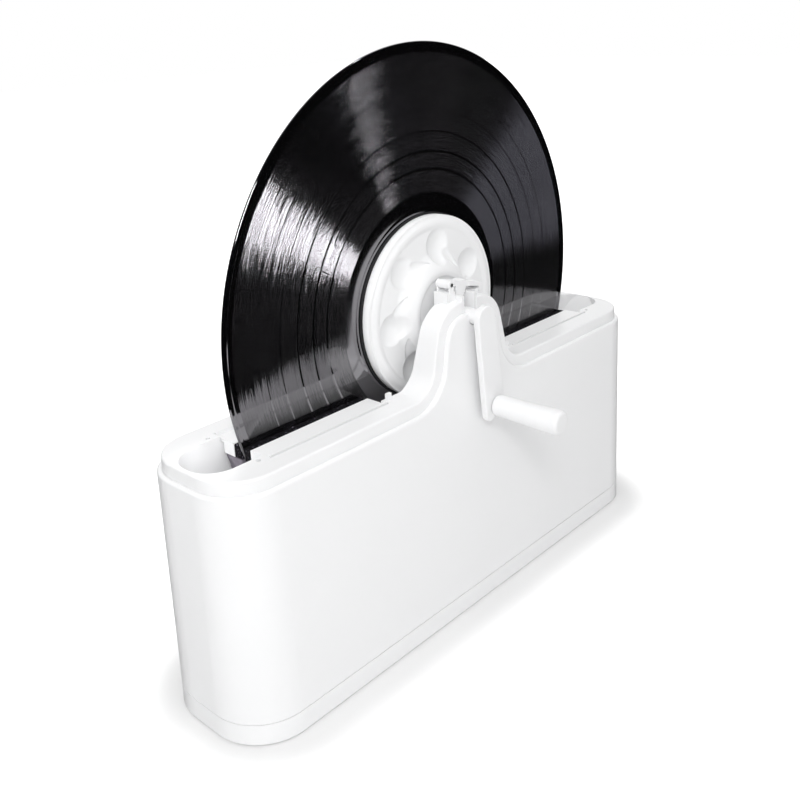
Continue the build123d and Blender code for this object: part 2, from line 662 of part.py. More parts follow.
def clamp_disc():
    """Front clamp disc; its -Y face carries the rim, the finger hollows and the coned hub."""
    with BuildPart() as disc:
        with BuildSketch(SPINDLE_PLANE):
            with BuildLine():
                Polyline(
                    (CLAMP_VALLEY_R, -CLAMP_WEB_Y),
                    (HUB_FOOT_R, -CLAMP_WEB_Y),
                    (HUB_R, -HUB_Y),
                    (AXLE_D / 2 + STUD_FIT, -HUB_Y),
                    (AXLE_D / 2 + STUD_FIT, -CLAMP_RECESS_Y),
                    (HUB_BOSS_R, -CLAMP_RECESS_Y),
                    (HUB_BOSS_R, -HUB_Y + HUB_SKIN),
                    (HUB_R - HUB_SKIN, -HUB_Y + HUB_SKIN),
                    (HUB_R - HUB_SKIN, -CLAMP_RECESS_Y),
                    (SEAL_INNER_R, -CLAMP_RECESS_Y),
                    (SEAL_INNER_R, -SEAL_SEAT_Y),
                    (SEAL_ROOT_R, -SEAL_SEAT_Y),
                    (SEAL_ROOT_R, -CLAMP_RECESS_Y),
                    (CLAMP_R, -CLAMP_RECESS_Y),
                    (CLAMP_R, -CLAMP_RIM_Y),
                )
                ThreePointArc(
                    (CLAMP_R, -CLAMP_RIM_Y),
                    (CLAMP_CREST_R, -CLAMP_CREST_Y),
                    (CLAMP_VALLEY_R, -CLAMP_WEB_Y),
                )
            make_face()
        revolve(axis=AXLE_LINE)
        hub_edges = disc.edges().filter_by(GeomType.CIRCLE).group_by(Axis.Y)[0]
        fillet(hub_edges.sort_by(SortBy.RADIUS)[-1], radius=HUB_EDGE_R)
        ball_y = -CLAMP_WEB_Y - DIMPLE_BALL_R + DIMPLE_DEPTH
        for k in range(DIMPLES):
            x, z = polar_point(DIMPLE_PITCH_R, DIMPLE_START + k * 360 / DIMPLES)
            with Locations((x, ball_y, AXLE_Z + z)):
                Sphere(DIMPLE_BALL_R, mode=Mode.SUBTRACT)
    return disc.part


def polar_point(radius, degrees):
    """Point at this radius and angle from +X, in a plane's own two axes."""
    turn = math.radians(degrees)
    return (radius * math.cos(turn), radius * math.sin(turn))


front_disc = clamp_disc()
finish(front_disc, "front_clamp_disc")
finish(mirror(front_disc, about=Plane.XZ), "rear_clamp_disc")

front_seal = turned(
    [
        (SEAL_INNER_R + STUD_FIT, -RECORD_T / 2),
        (SEAL_OUTER_R, -RECORD_T / 2),
        (SEAL_OUTER_R, -CLAMP_RECESS_Y),
        (SEAL_ROOT_R - STUD_FIT, -CLAMP_RECESS_Y),
        (SEAL_ROOT_R - STUD_FIT, -SEAL_SEAT_Y),
        (SEAL_INNER_R + STUD_FIT, -SEAL_SEAT_Y),
    ]
)
finish(front_seal, "front_seal")
finish(mirror(front_seal, about=Plane.XZ), "rear_seal")

with BuildPart() as front_axle:
    with BuildSketch(keeper_plane(-CLAMP_RECESS_Y)):
        Circle(AXLE_D / 2)
    extrude(amount=ARM_NEAR_Y - CLAMP_RECESS_Y)
    with BuildSketch(keeper_plane(-ARM_NEAR_Y)):
        Circle(DRIVE_R)
        with Locations((0, (2 * DRIVE_R - DRIVE_FLAT) / 2)):
            Rectangle(2 * DRIVE_R, 2 * DRIVE_R + DRIVE_FLAT, mode=Mode.INTERSECT)
    extrude(amount=DRIVE_DEPTH)
    with BuildSketch(keeper_plane(-CLAMP_RECESS_Y)):
        Circle(STUD_D / 2 + STUD_FIT)
    extrude(amount=STUD_END_Y - CLAMP_RECESS_Y, mode=Mode.SUBTRACT)
finish(front_axle.part, "front_axle")

rear_axle = turned(
    [
        (0, REAR_AXLE_END_Y),
        (AXLE_D / 2, REAR_AXLE_END_Y),
        (AXLE_D / 2, CLAMP_RECESS_Y),
        (SPINDLE_D / 2, CLAMP_RECESS_Y),
        (SPINDLE_D / 2, -CLAMP_RECESS_Y),
        (STUD_D / 2, -CLAMP_RECESS_Y),
        (STUD_D / 2, -STUD_END_Y),
        (0, -STUD_END_Y),
    ]
)
finish(rear_axle, "rear_axle")

# ---- crank ----------------------------------------------------------------------------------
tilt = math.radians(ARM_TILT)
arm_across = (math.cos(tilt), 0, math.sin(tilt))
arm_back = Plane(origin=(0, -ARM_NEAR_Y, AXLE_Z), x_dir=arm_across, z_dir=(0, -1, 0))
arm_front = arm_back.offset(ARM_T)

with BuildPart() as crank_arm:
    with BuildSketch(arm_back):
        Circle(ARM_HUB_R)
        with Locations((0, -ARM_THROW)):
            RectangleRounded(2 * ARM_END_HALF_W, 2 * ARM_TAIL, ARM_END_R)
        make_hull()
    extrude(amount=ARM_T)
    fillet(crank_arm.edges().group_by(Axis.Y)[0], radius=ARM_T / 4)
    with BuildSketch(keeper_plane(-ARM_NEAR_Y)):
        Circle(DRIVE_R + DRIVE_FIT)
        with Locations((0, (2 * DRIVE_R - DRIVE_FLAT - DRIVE_FIT) / 2)):
            Rectangle(4 * DRIVE_R, 2 * DRIVE_R + DRIVE_FLAT + DRIVE_FIT, mode=Mode.INTERSECT)
    extrude(amount=DRIVE_DEPTH, mode=Mode.SUBTRACT)
    with BuildSketch(arm_front):
        with Locations((0, -ARM_THROW)):
            Circle(PIN_D / 2)
    extrude(amount=-PIN_ROOT, mode=Mode.SUBTRACT)
finish(crank_arm.part, "crank_arm")

PIN_PLANE = Plane(origin=(GRIP_X, 0, GRIP_Z), x_dir=(1, 0, 0), z_dir=(0, 0, 1))
HEAD_NEAR_Y = PIN_END_Y - PIN_HEAD_T

with BuildPart() as grip_pin:
    with BuildSketch(PIN_PLANE):
        with BuildLine():
            Polyline(
                (0, -ARM_FAR_Y + PIN_ROOT),
                (PIN_D / 2, -ARM_FAR_Y + PIN_ROOT),
                (PIN_D / 2, -HEAD_NEAR_Y),
                (PIN_HEAD_D / 2, -HEAD_NEAR_Y),
                (PIN_HEAD_D / 2, -PIN_END_Y),
                (0, -PIN_END_Y),
                close=True,
            )
        make_face()
    revolve(axis=GRIP_LINE)
finish(grip_pin.part, "grip_pin")

with BuildPart() as crank_grip:
    with BuildSketch(PIN_PLANE) as grip_profile:
        with BuildLine():
            Polyline(
                (PIN_D / 2 + PIN_FIT, -ARM_FAR_Y - GRIP_GAP),
                (GRIP_NEAR_R, -ARM_FAR_Y - GRIP_GAP),
                (GRIP_END_R, -GRIP_END_Y),
                (0, -GRIP_END_Y),
                (0, -PIN_END_Y - GRIP_GAP),
                (PIN_HEAD_D / 2 + PIN_FIT, -PIN_END_Y - GRIP_GAP),
                (PIN_HEAD_D / 2 + PIN_FIT, -HEAD_NEAR_Y + GRIP_GAP),
                (PIN_D / 2 + PIN_FIT, -HEAD_NEAR_Y + GRIP_GAP),
                close=True,
            )
        make_face()
        fillet(grip_profile.vertices().sort_by(Axis.X)[-2:], radius=GRIP_EDGE_R)
    revolve(axis=GRIP_LINE)
finish(crank_grip.part, "crank_grip")


# ---- brushes: a holder that hangs on the deck, with its bristle pad against the record ----------
def brush_holder(x_side, y_side):
    """Holder: a bar over the trough, a flange that rests on the deck and a ridge to lift it by."""
    mid_x = x_side * BRUSH_MID_X
    with BuildPart() as holder:
        with BuildSketch(Plane.XY.offset(BRUSH_TOP_Z)):
            with Locations((mid_x, y_side * (PAD_NECK_Y + HOLDER_BACK_Y) / 2)):
                Rectangle(BRUSH_L, HOLDER_BACK_Y - PAD_NECK_Y)
        extrude(amount=HOLDER_LOW_Z - BRUSH_TOP_Z)
        with BuildSketch(Plane.XY.offset(BRUSH_TOP_Z)):
            with Locations((mid_x, y_side * (HOLDER_BACK_Y + HOLDER_FLANGE_Y) / 2)):
                Rectangle(BRUSH_L, HOLDER_FLANGE_Y - HOLDER_BACK_Y)
        extrude(amount=-HOLDER_FLANGE_T)
        with BuildSketch(Plane.XY.offset(BRUSH_TOP_Z)):
            with Locations((mid_x, y_side * RIDGE_Y)):
                Rectangle(BRUSH_L, RIDGE_W)
        extrude(amount=RIDGE_H)
    return holder.part


def bristles(x_side, y_side):
    """Bristle pad of one brush: a wedge under the holder, its tips just off the record."""
    pad_end = Plane.YZ.offset(x_side * BRUSH_MID_X)
    with BuildPart() as pad:
        with BuildSketch(pad_end):
            with BuildLine():
                Polyline(
                    (y_side * PAD_TIP_Y, BRUSH_TOP_Z - PAD_TOP_INSET),
                    (y_side * PAD_NECK_Y, BRUSH_TOP_Z - PAD_TOP_INSET),
                    (y_side * PAD_NECK_Y, HOLDER_LOW_Z),
                    (y_side * PAD_BACK_Y, HOLDER_LOW_Z),
                    (y_side * PAD_TOE_Y, PAD_LOW_Z),
                    (y_side * PAD_TIP_Y, PAD_LOW_Z),
                    close=True,
                )
            make_face()
        extrude(amount=BRUSH_L / 2 - PAD_END_INSET, both=True)
    return pad.part


for x_side, x_name in ((-1, "left"), (1, "right")):
    for y_side, y_name in ((-1, "front"), (1, "rear")):
        finish(brush_holder(x_side, y_side), f"{y_name}_{x_name}_brush_holder")
        finish(bristles(x_side, y_side), f"{y_name}_{x_name}_bristles")

# ---- base plate, feet and screws --------------------------------------------------------------
with BuildPart() as base_plate:
    extrude(footprint(BASE_LIFT, 0), amount=SEAM_Z - SEAM_GAP - BASE_LIFT, taper=DRAFT_DEG)
    extrude(
        footprint(BASE_LIFT + BASE_FLOOR_T, WALL),
        amount=SEAM_Z - BASE_LIFT - BASE_FLOOR_T,
        taper=DRAFT_DEG,
        mode=Mode.SUBTRACT,
    )
    extrude(
        footprint(BASE_LIFT + BASE_FLOOR_T, WALL + FIT),
        amount=SEAM_Z + BASE_TONGUE_H - BASE_LIFT - BASE_FLOOR_T,
        taper=DRAFT_DEG,
    )
    extrude(
        footprint(BASE_LIFT + BASE_FLOOR_T, WALL + FIT + BASE_TONGUE_T),
        amount=SEAM_Z + BASE_TONGUE_H - BASE_LIFT - BASE_FLOOR_T,
        taper=DRAFT_DEG,
        mode=Mode.SUBTRACT,
    )
    with BuildSketch(Plane.XY.offset(SEAM_Z)):
        with Locations(SIX_BOSSES):
            Circle(BOSS_R + FIT)
    extrude(amount=BASE_TONGUE_H, mode=Mode.SUBTRACT)
    with BuildSketch(Plane.XY.offset(BASE_LIFT)):
        with Locations(SIX_BOSSES):
            Circle(BOSS_R)
    extrude(amount=SEAM_Z - BASE_LIFT)
    with BuildSketch(Plane.XY.offset(BASE_LIFT)):
        with Locations(SIX_BOSSES):
            Circle(BASE_SCREW_D / 2 + FIT)
    extrude(amount=SEAM_Z - BASE_LIFT, mode=Mode.SUBTRACT)
    with BuildSketch(Plane.XY.offset(BASE_LIFT)):
        with Locations(SIX_BOSSES):
            Circle(BASE_SCREW_HEAD_D / 2 + FIT)
    extrude(amount=SCREW_RECESS, mode=Mode.SUBTRACT)
    with BuildSketch(Plane.XY.offset(BASE_LIFT)):
        with Locations(FOUR_FEET):
            Circle(FOOT_R)
    extrude(amount=FOOT_POCKET, mode=Mode.SUBTRACT)
finish(base_plate.part, "base_plate")

with BuildPart() as feet:
    with BuildSketch(Plane.XY):
        with Locations(FOUR_FEET):
            Circle(FOOT_R - FIT)
    extrude(amount=BASE_LIFT + FOOT_POCKET)
finish(feet.part, "feet")


def screws(spots, seat_z, head_d, head_t, shank_d, length):
    """Pan-head screws pointing up, their heads seated under this height."""
    with BuildPart() as group:
        with BuildSketch(Plane.XY.offset(seat_z)):
            with Locations(spots):
                Circle(head_d / 2)
        extrude(amount=-head_t)
        with BuildSketch(Plane.XY.offset(seat_z)):
            with Locations(spots):
                Circle(shank_d / 2)
        extrude(amount=length)
    return group.part


BASE_SCREW_SEAT_Z = BASE_LIFT + SCREW_RECESS
TUB_SCREW_SEAT_Z = SKIRT_Z - BRACKET_DROP - BRACKET_T
base_screw_l = SEAM_Z - BASE_SCREW_SEAT_Z + BASE_SCREW_BITE
tub_screw_spots = [(x, y) for x in (-TUB_BOSS_X, TUB_BOSS_X) for y in (-TUB_BOSS_Y, TUB_BOSS_Y)]
base_screws = screws(
    SIX_BOSSES, BASE_SCREW_SEAT_Z, BASE_SCREW_HEAD_D, BASE_SCREW_HEAD_T, BASE_SCREW_D, base_screw_l
)
finish(base_screws, "base_screws")
tub_screw_l = BRACKET_T + TUB_SCREW_BITE
tub_screws = screws(
    tub_screw_spots, TUB_SCREW_SEAT_Z, TUB_SCREW_HEAD_D, TUB_SCREW_HEAD_T, TUB_SCREW_D, tub_screw_l
)
finish(tub_screws, "tub_screws")
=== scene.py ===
"""Record washer: dresses its tub, record, clamp discs and brushes, and lights them."""

import math

import bpy
import numpy as np
from bpy.props import FloatProperty, FloatVectorProperty, IntProperty, PointerProperty
from bpy.types import Operator, Panel, PropertyGroup
from mathutils import Matrix, Vector


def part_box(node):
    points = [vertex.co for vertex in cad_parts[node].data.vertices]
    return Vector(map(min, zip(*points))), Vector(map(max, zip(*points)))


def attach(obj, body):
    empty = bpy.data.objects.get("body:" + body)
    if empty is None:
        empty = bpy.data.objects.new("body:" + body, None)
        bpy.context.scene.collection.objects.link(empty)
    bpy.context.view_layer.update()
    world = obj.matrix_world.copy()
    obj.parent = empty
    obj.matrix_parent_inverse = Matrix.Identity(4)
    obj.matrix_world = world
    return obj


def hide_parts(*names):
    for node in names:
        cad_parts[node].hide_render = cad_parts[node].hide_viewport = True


bl_info = {
    "name": "Record Washer",
    "version": (1, 0, 0),
    "blender": (4, 5, 0),
    "location": "View3D > Sidebar > Record Washer",
    "description": "Builds the looks of a hand-cranked record washer",
    "category": "Object",
}

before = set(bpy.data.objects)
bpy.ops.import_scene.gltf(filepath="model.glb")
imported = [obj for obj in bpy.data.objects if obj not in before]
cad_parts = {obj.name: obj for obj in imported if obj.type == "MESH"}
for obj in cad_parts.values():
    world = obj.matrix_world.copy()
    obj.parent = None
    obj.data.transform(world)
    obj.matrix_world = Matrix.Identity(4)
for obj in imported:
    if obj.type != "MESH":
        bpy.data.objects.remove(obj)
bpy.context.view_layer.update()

MM = 0.001
AXLE_Z = sum(corner.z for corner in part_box("record")) / 2
RECORD_RADIUS = (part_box("record")[1].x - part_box("record")[0].x) / 2

# ---- the record, in millimetres ---------------------------------------------------------------
# Radii of its hole, its label zone, its cut and the gaps between tracks, then half its thickness.
HOLE_R = 3.63
LABEL_ZONE_R = 57.6
LABEL_SLOPE = 2.0
CUT_END = 67.4
TRACK_GAPS = (124.9, 114.2, 102.2, 91.1, 81.0)
GAP_WIDTH = 0.8
CUT_START = 144.5
BEAD_SLOPE = 1.2
FULL_HALF = 1.0
CUT_HALF = 0.76
EDGE_ROUND = 0.9

# ---- the clamp discs, in millimetres ----------------------------------------------------------
# Heights are above the record's middle plane.
BORE_R = 4.56
WEB_Y = 8.0
HUB_FOOT_R = 34.5
HUB_SLOPE = 12.5
HUB_RISE = 6.6
RECESS_R = 20.5
RECESS_SLOPE = 1.6
RECESS_DEPTH = 1.0
# The rim is an arc: its middle, its radius, where it starts, and how softly it meets the web.
RIM_MID_R = 50.51
RIM_MID_Y = 4.27
RIM_ROUND = 4.74
RIM_START_R = 46.2
RIM_BLEND = 0.8
# Each finger hollow: its radius, its ring's radius, how softly it meets the web, the first one's
# angle, and a height so far out that it cuts nothing.
HOLLOW_R = 9.4
HOLLOW_RING_R = 38.0
HOLLOW_BLEND = 0.7
FIRST_HOLLOW = math.radians(83.5)
NO_HOLLOW = 99.0
# Each tail: its sweep, how far and in what power of the sweep it winds in, its width, the power
# in which that narrows, and the stretches over which the tail starts and ends.
TAIL_SWEEP = math.radians(36.0)
TAIL_WIND_IN = 9.5
TAIL_WIND_POWER = 0.62
TAIL_WIDTH = 0.86 * HOLLOW_R
TAIL_TAPER = 1.15
TAIL_START = math.radians(6.0)
TAIL_END = 0.12
# The back's rows as (radius, height), from the rim to the bore.
CLAMP_BACK = (
    (55.24, 3.4), (55.2, 2.25), (55.1, 2.12), (54.6, 2.1), (30.0, 2.1), (9.0, 2.1), (4.7, 2.1),
    (BORE_R, 2.2),
)
CLAMP_UV_R = 60.0

# ---- the bristle pads, in millimetres ---------------------------------------------------------
# The section as (distance from the record's plane, height). The neck is black above these heights.
PAD_SECTION = ((1.3, 150.1), (7.0, 150.1), (7.0, 142.6), (15.2, 142.6), (5.0, 118.5), (1.3, 118.5))
PAD_LENGTH = 84.5
PAD_END = 0.6
PAD_END_SHRINK = 0.02
TUFT_DEPTH = 0.45
NECK_LOW = 141.5
NECK_HIGH = 143.0

# ---- colours of the small pieces --------------------------------------------------------------
RUBBER_BLACK = (0.012, 0.012, 0.013)
STEEL_GREY = (0.62, 0.62, 0.63)
LABEL_CREAM = (0.8, 0.78, 0.72)
BRISTLE_BLACK = (0.006, 0.0055, 0.007)
LOWER_PILE_DARK = (0.13, 0.115, 0.14)
LOWER_PILE_PALE = (0.3, 0.28, 0.32)

# ---- the stage, in metres and degrees ---------------------------------------------------------
FLOOR_HALF = 6.0
PAPER_DARK = (0.79, 0.79, 0.79)
PAPER_PALE = (0.95, 0.95, 0.95)
MOTTLE = 0.12
# The foot on the floor is a box this far from the middle, with this round added all about it.
FOOT_CORE = (("X", 0.146), ("Y", 0.011))
FOOT_ROUND = 0.041
# The paper's glow to the camera at the foot, at the end of the shade, and what it gains far out.
# Held low at the foot, the glow paints a soft shade round it, drawn by distance from the foot's
# outline, not cast by a lamp.
FOOT_GLOW = 0.05
SHADE_END = 0.083
NEAR_GLOW = 0.68
FAR_START, FAR_END = 0.3, 1.1
FAR_GLOW = 0.45

UPPER_LEFT = (-0.621, -0.55, 0.558)
LEFT_SHOULDER = (-0.58, -0.56, 0.59)
STRAIGHT_UP = (0.0, 0.0, 1.0)
# Reflections see a pale patch round this direction, above and behind the object on its right.
PATCH_DIRECTION = (0.65, 0.67, 0.36)
DARK_REFLECTION = 0.003
# How much stronger the fill is straight above, and from the left.
FILL_UP = 0.3
FILL_LEFT = 0.14

CAMERA_PLACE = (-0.39804, -0.35437, 0.35234)
CAMERA_AZIMUTH = 46.145
CAMERA_ELEVATION = -20.939
CAMERA_ROLL = -2.841
CAMERA_SENSOR = 36.0
CAMERA_LENS = 41.333
CAMERA_SHIFT = (0.0076, -0.0374)


# ---- sizes and colours ----------------------------------------------------------------------
class PlasticSettings(PropertyGroup):
    """Colour and gloss of the moulded plastic"""

    colour: FloatVectorProperty(
        name="Plastic colour",
        description="Colour of the moulded white plastic",
        subtype="COLOR",
        size=3,
        min=0.0,
        max=1.0,
        default=(0.9, 0.902, 0.908),
    )
    roughness: FloatProperty(
        name="Plastic roughness",
        description="Mean roughness of the moulded plastic",
        min=0.05,
        max=1.0,
        default=0.3,
    )


class RecordSettings(PropertyGroup):
    """Colour, rim bead and grooves of the record"""

    colour: FloatVectorProperty(
        name="Vinyl colour",
        description="Colour of the pressed vinyl",
        subtype="COLOR",
        size=3,
        min=0.0,
        max=1.0,
        default=(0.0012, 0.0012, 0.0014),
    )
    rim_bead: FloatProperty(
        name="Rim bead",
        description="Width of the raised bead at the record's edge",
        unit="LENGTH",
        min=0.001,
        max=0.005,
        default=0.0033,
    )
    groove_pitch: FloatProperty(
        name="Groove pitch",
        description="Radial distance from one visible groove to the next",
        unit="LENGTH",
        min=0.0001,
        default=0.0005,
    )
    groove_slope: FloatProperty(
        name="Groove slope",
        description="Slope of a groove's walls, as rise over run",
        min=0.0,
        default=1.25,
    )


class ClampSettings(PropertyGroup):
    """Finger hollows and tails of the clamp discs"""

    dimples: IntProperty(
        name="Finger hollows",
        description="How many finger hollows each clamp disc has",
        min=3,
        max=12,
        default=7,
    )
    dimple_depth: FloatProperty(
        name="Hollow depth",
        description="Depth of a finger hollow",
        unit="LENGTH",
        min=0.001,
        max=0.006,
        default=0.0044,
    )
    tail_depth: FloatProperty(
        name="Tail depth",
        description="Depth of the swirl that trails from each finger hollow",
        unit="LENGTH",
        min=0.0,
        max=0.004,
        default=0.0016,
    )


class StageSettings(PropertyGroup):
    """Power of the lamps and strength of the fill"""

    key_power: FloatProperty(
        name="Key power",
        description="Power of the soft key light",
        unit="POWER",
        min=0.0,
        default=2.55,
    )
    soft_power: FloatProperty(
        name="Soft power",
        description="Power of the broad lamp above the camera's left shoulder",
        unit="POWER",
        min=0.0,
        default=2.7,
    )
    glint_power: FloatProperty(
        name="Glint power",
        description="Power of the narrow lamp that only shows as a reflection in the grooves",
        unit="POWER",
        min=0.0,
        default=10.0,
    )
    fill: FloatProperty(
        name="Fill",
        description="Strength of the even light from all round",
        min=0.0,
        max=2.0,
        default=0.565,
    )


# ---- shader helpers ---------------------------------------------------------------------------
class Graph:
    """A node tree, with one short call for each kind of node."""

    def __init__(self, tree):
        self.tree = tree
        self.tree.nodes.clear()

    def add(self, kind, settings=None, **inputs):
        """Adds a node, sets its properties, and links or sets the inputs named.

        An input is named by its socket, or by its number, as in i0 for the first.
        """
        node = self.tree.nodes.new(kind)
        for key, value in (settings or {}).items():
            setattr(node, key, value)
        for key, value in inputs.items():
            self.plug(node, key, value)
        return node

    def plug(self, node, key, value):
        """Links an output to an input, or sets the input to a constant."""
        by_number = key[0] == "i" and key[1:].isdigit()
        socket = node.inputs[int(key[1:]) if by_number else key]
        if isinstance(value, bpy.types.NodeSocket):
            self.tree.links.new(value, socket)
        else:
            socket.default_value = value

    def math(self, operation, a, b=0.0):
        """One calculation with one or two numbers."""
        return self.add("ShaderNodeMath", {"operation": operation}, i0=a, i1=b).outputs[0]

    def vector_math(self, operation, a, b=(0.0, 0.0, 0.0), output="Vector"):
        """One calculation with one or two vectors."""
        settings = {"operation": operation}
        return self.add("ShaderNodeVectorMath", settings, i0=a, i1=b).outputs[output]

    def parts(self, vector):
        """The X, Y and Z of a vector."""
        return self.add("ShaderNodeSeparateXYZ", Vector=vector).outputs

    def rise(self, value, start, stop, low=0.0, high=1.0, interpolation="SMOOTHSTEP"):
        """Goes from low to high while the value goes from start to stop, and is held beyond."""
        node = self.add("ShaderNodeMapRange", {"interpolation_type": interpolation}, Value=value)
        limits = {"From Min": start, "From Max": stop, "To Min": low, "To Max": high}
        for key, limit in limits.items():
            node.inputs[key].default_value = limit
        return node.outputs["Result"]

    def spread(self, value, low, high):
        """Maps 0..1 to low..high in a straight line."""
        return self.rise(value, 0.0, 1.0, low, high, "LINEAR")

    def noise(self, vector, scale, detail=2.0, roughness=0.5):
        """Smooth noise from 0 to 1 over a place."""
        settings = {"Scale": scale, "Detail": detail, "Roughness": roughness}
        return self.add("ShaderNodeTexNoise", Vector=vector, **settings).outputs["Fac"]

    def stretched(self, vector, scale):
        """A place scaled along X, Y and Z, to draw out a noise."""
        return self.add("ShaderNodeMapping", Vector=vector, Scale=scale).outputs["Vector"]

    def blend(self, factor, low, high):
        """Blends two colours, each a constant or an output, by a factor."""
        low, high = (
            side if isinstance(side, bpy.types.NodeSocket) else (*side, 1.0)
            for side in (low, high)
        )
        node = self.add("ShaderNodeMix", {"data_type": "RGBA"}, i0=factor, i6=low, i7=high)
        return node.outputs[2]

    def bump(self, height, distance, strength=1.0, normal=None):
        """The normal of a relief, this many metres deep, laid over another normal."""
        node = self.add("ShaderNodeBump", Height=height, Distance=distance, Strength=strength)
        if normal is not None:
            self.plug(node, "Normal", normal)
        return node.outputs["Normal"]


class Finish(Graph):
    """A material's node tree, with its shader and the piece's own coordinates."""

    def __init__(self, name):
        self.material = bpy.data.materials.get(name) or bpy.data.materials.new(name)
        self.material.use_nodes = True
        super().__init__(self.material.node_tree)
        self.shader = self.add("ShaderNodeBsdfPrincipled")
        output = self.add("ShaderNodeOutputMaterial")
        self.tree.links.new(self.shader.outputs["BSDF"], output.inputs["Surface"])
        self.place = self.add("ShaderNodeTexCoord").outputs["Object"]

    def finish(self, constants, **links):
        """Sets the shader's constants, links the rest, and gives the material."""
        for key, value in constants.items():
            self.shader.inputs[key].default_value = value
        for key, value in links.items():
            self.plug(self.shader, key.replace("_", " "), value)
        return self.material


def shade(colour, factor):
    """A colour, darker or lighter by this factor."""
    return tuple(min(1.0, channel * factor) for channel in colour)


def moulded_plastic(name, colour, roughness):
    """Injection-moulded plastic: faint flow shading, a fine spark-eroded grain and soft gloss."""
    n = Finish(name)
    flow = n.noise(n.stretched(n.place, (6.0, 6.0, 14.0)), scale=1.0, detail=3.0)
    grain = n.noise(n.place, scale=1400.0)
    waviness = n.noise(n.place, scale=22.0, detail=1.0)
    fine = n.bump(grain, distance=0.00001, strength=0.5)
    return n.finish(
        {"IOR": 1.5},
        Base_Color=n.blend(flow, shade(colour, 0.985), shade(colour, 1.012)),
        Roughness=n.spread(flow, roughness - 0.04, roughness + 0.05),
        Normal=n.bump(waviness, distance=0.0004, strength=0.25, normal=fine),
    )


def cut_zones(n, radius):
    """1 where the record is cut, and 0 at its label, in its track gaps and at its rim."""
    zones = n.add("ShaderNodeValToRGB", Fac=radius)
    ramp = zones.color_ramp
    ramp.interpolation = "CONSTANT"
    ramp.elements[0].position = 0.0
    ramp.elements[0].color = (0.0, 0.0, 0.0, 1.0)
    ramp.elements.remove(ramp.elements[1])
    edges = [(CUT_END, 1.0)]
    for gap in reversed(TRACK_GAPS):
        edges += [(gap - GAP_WIDTH / 2, 0.0), (gap + GAP_WIDTH / 2, 1.0)]
    edges.append((CUT_START, 0.0))
    for millimetres, value in edges:
        stop = ramp.elements.new(millimetres * MM / RECORD_RADIUS)
        stop.color = (value, value, value, 1.0)
    return zones.outputs["Color"]


def pressed_vinyl(name, settings):
    """Black vinyl: fine grooves that spread light along the radius, with smooth track gaps.

    The relief is a sawtooth, the fraction of radius over pitch, so every wall leans one way. One
    noise, drawn out along the grooves, wavers the sawtooth. Another sways the walls sideways.
    """
    n = Finish(name)
    plan = n.add("ShaderNodeTexCoord").outputs["UV"]
    radius = n.parts(plan)["X"]
    grooved = cut_zones(n, radius)
    passages = n.noise(n.stretched(plan, (110.0, 2.0, 1.0)), scale=1.0, detail=3.0, roughness=0.7)
    waver = n.noise(n.stretched(plan, (340.0, 26.0, 1.0)), scale=1.0, roughness=0.7)
    turns = n.math("MULTIPLY", radius, -RECORD_RADIUS / settings.groove_pitch)
    walls = n.math("FRACT", n.math("ADD", turns, passages))
    relief = n.math("MULTIPLY", walls, grooved)
    wall_normal = n.bump(relief, distance=settings.groove_pitch * settings.groove_slope)
    tangent = {"direction_type": "UV_MAP", "uv_map": "disc"}
    outward = n.add("ShaderNodeTangent", tangent).outputs["Tangent"]
    facing = n.add("ShaderNodeNewGeometry").outputs["Normal"]
    along = n.vector_math("CROSS_PRODUCT", facing, outward)
    sway = n.math("MULTIPLY", n.math("SUBTRACT", waver, 0.5), n.math("MULTIPLY", grooved, 0.4))
    drift = n.add("ShaderNodeVectorMath", {"operation": "SCALE"}, i0=along, Scale=sway)
    swayed = n.vector_math("ADD", wall_normal, drift.outputs["Vector"])
    smooth, cut = 0.08, n.spread(passages, 0.2, 0.3)
    gloss = n.add("ShaderNodeMix", {"data_type": "FLOAT"}, i0=grooved, i2=smooth, i3=cut)
    return n.finish(
        {
            "Anisotropic": 1.0,
            "Coat Weight": 1.0,
            "Coat Roughness": 0.06,
            "Specular IOR Level": 1.0,
            "Specular Tint": (0.97, 0.94, 1.0, 1.0),
            "IOR": 2.0,
        },
        Base_Color=n.blend(passages, settings.colour, shade(settings.colour, 1.8)),
        Roughness=gloss.outputs[0],
        Normal=n.vector_math("NORMALIZE", swayed),
        Tangent=outward,
    )


def soft_rubber(name, colour):
    """Matt rubber with a dusty, finely pitted skin."""
    n = Finish(name)
    dust = n.noise(n.place, scale=60.0, detail=4.0)
    pits = n.noise(n.place, scale=1800.0)
    return n.finish(
        {"IOR": 1.48},
        Base_Color=n.blend(dust, colour, shade(colour, 1.6)),
        Roughness=n.spread(dust, 0.55, 0.75),
        Normal=n.bump(pits, distance=0.00003, strength=0.6),
    )


def turned_steel(name, colour):
    """Bright steel with fine turning marks round the axis."""
    n = Finish(name)
    marks = n.noise(n.stretched(n.place, (300.0, 4000.0, 300.0)), scale=1.0)
    return n.finish(
        {"Metallic": 1.0, "Anisotropic": 0.4},
        Base_Color=n.blend(marks, shade(colour, 0.9), colour),
        Roughness=n.spread(marks, 0.22, 0.38),
        Normal=n.bump(marks, distance=0.00001, strength=0.5),
    )


def printed_paper(name, colour):
    """Uncoated label paper with visible fibres."""
    n = Finish(name)
    drawn = n.stretched(n.place, (900.0, 900.0, 260.0))
    fibres = n.noise(drawn, scale=1.0, detail=4.0, roughness=0.7)
    return n.finish(
        {"IOR": 1.45},
        Base_Color=n.blend(fibres, shade(colour, 0.9), colour),
        Roughness=n.spread(fibres, 0.7, 0.85),
        Normal=n.bump(fibres, distance=0.00002, strength=0.5),
    )


